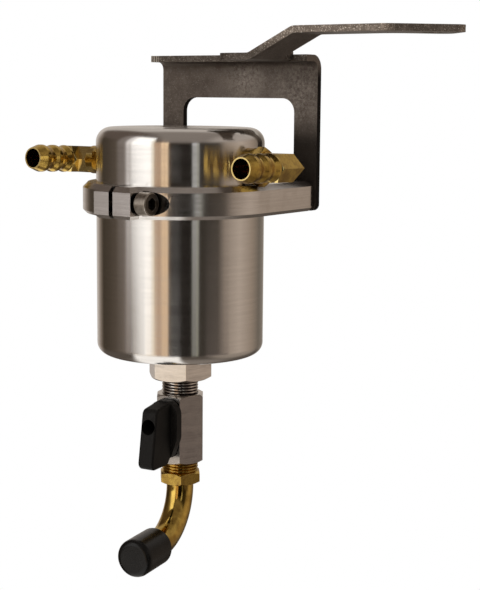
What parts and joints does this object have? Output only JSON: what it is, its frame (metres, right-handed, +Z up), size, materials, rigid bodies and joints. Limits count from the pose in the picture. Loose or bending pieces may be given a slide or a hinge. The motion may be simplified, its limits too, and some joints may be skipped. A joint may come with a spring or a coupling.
{
  "type": "oil catch can",
  "caption": "Round two-part oil catch can in a clamp ring on a folded bracket, with hose barbs, a ball valve and a bent drain tube with a cap.",
  "frame": {"origin": "middle of the bolt hole in the end of the bracket's arm, half way through the plate", "axes": "+Z up along the can's axis and the bolt hole, +X from the can towards the arm's end, -Y the way the hose barbs and the valve lever point"},
  "size_m": [0.1947, 0.1021, 0.2411],
  "materials": {
    "bracket_steel": "dark brown-grey, slightly mottled",
    "screw_steel": "plated",
    "ring_metal": "brushed",
    "can_metal": "turned and polished",
    "inner_metal": "plain",
    "mesh": "knitted wire",
    "seal_rubber": "plain",
    "brass": "aged",
    "nickel": "nickel plated brass",
    "seat_plastic": "plain",
    "ball_chrome": "polished",
    "lever_plastic": "fine grain",
    "cap_rubber": "semi-gloss"
  },
  "bodies": {
    "mount": {"bracket": "bracket_steel", "bracket_screws": "screw_steel", "bracket_washers": "screw_steel", "clamp_ring": "ring_metal", "clamp_screw": "screw_steel", "upper_housing": "can_metal", "baffle_plate": "inner_metal", "filter_pad": "mesh", "pad_retainer": "inner_metal", "pad_screw": "screw_steel", "pad_nut": "screw_steel", "right_port_washer": "brass", "left_port_washer": "brass", "right_port_nut": "brass", "left_port_nut": "brass", "right_elbow": "brass", "left_elbow": "brass", "right_barb": "brass", "left_barb": "brass"},
    "bowl": {"bowl": "can_metal", "bowl_seal": "seal_rubber", "drain_bung": "nickel", "bung_seal": "seal_rubber", "valve_body": "nickel", "valve_seats": "seat_plastic", "valve_insert": "brass", "stem_seal": "seat_plastic", "stem_gland": "brass", "drain_tail": "brass", "drain_tube": "brass"},
    "lever": {"lever": "lever_plastic", "lever_screw": "screw_steel", "valve_stem": "brass", "valve_ball": "ball_chrome"},
    "cap": {"drain_cap": "cap_rubber"}
  },
  "joints": [
    {"name": "bowl_slide", "type": "slide", "parent": "mount", "child": "bowl", "axis": [0, 0, -1], "range_m": [0, 0.04]},
    {"name": "lever_turn", "type": "hinge", "parent": "bowl", "child": "lever", "pos_m": [-0.10988, -0.03821, -0.1752], "axis": [0.1132, -0.9936, 0], "range_deg": [0, 90]},
    {"name": "cap_slide", "type": "slide", "parent": "bowl", "child": "cap", "axis": [0.1736, -0.9848, 0], "range_m": [0, 0.022]}
  ]
}
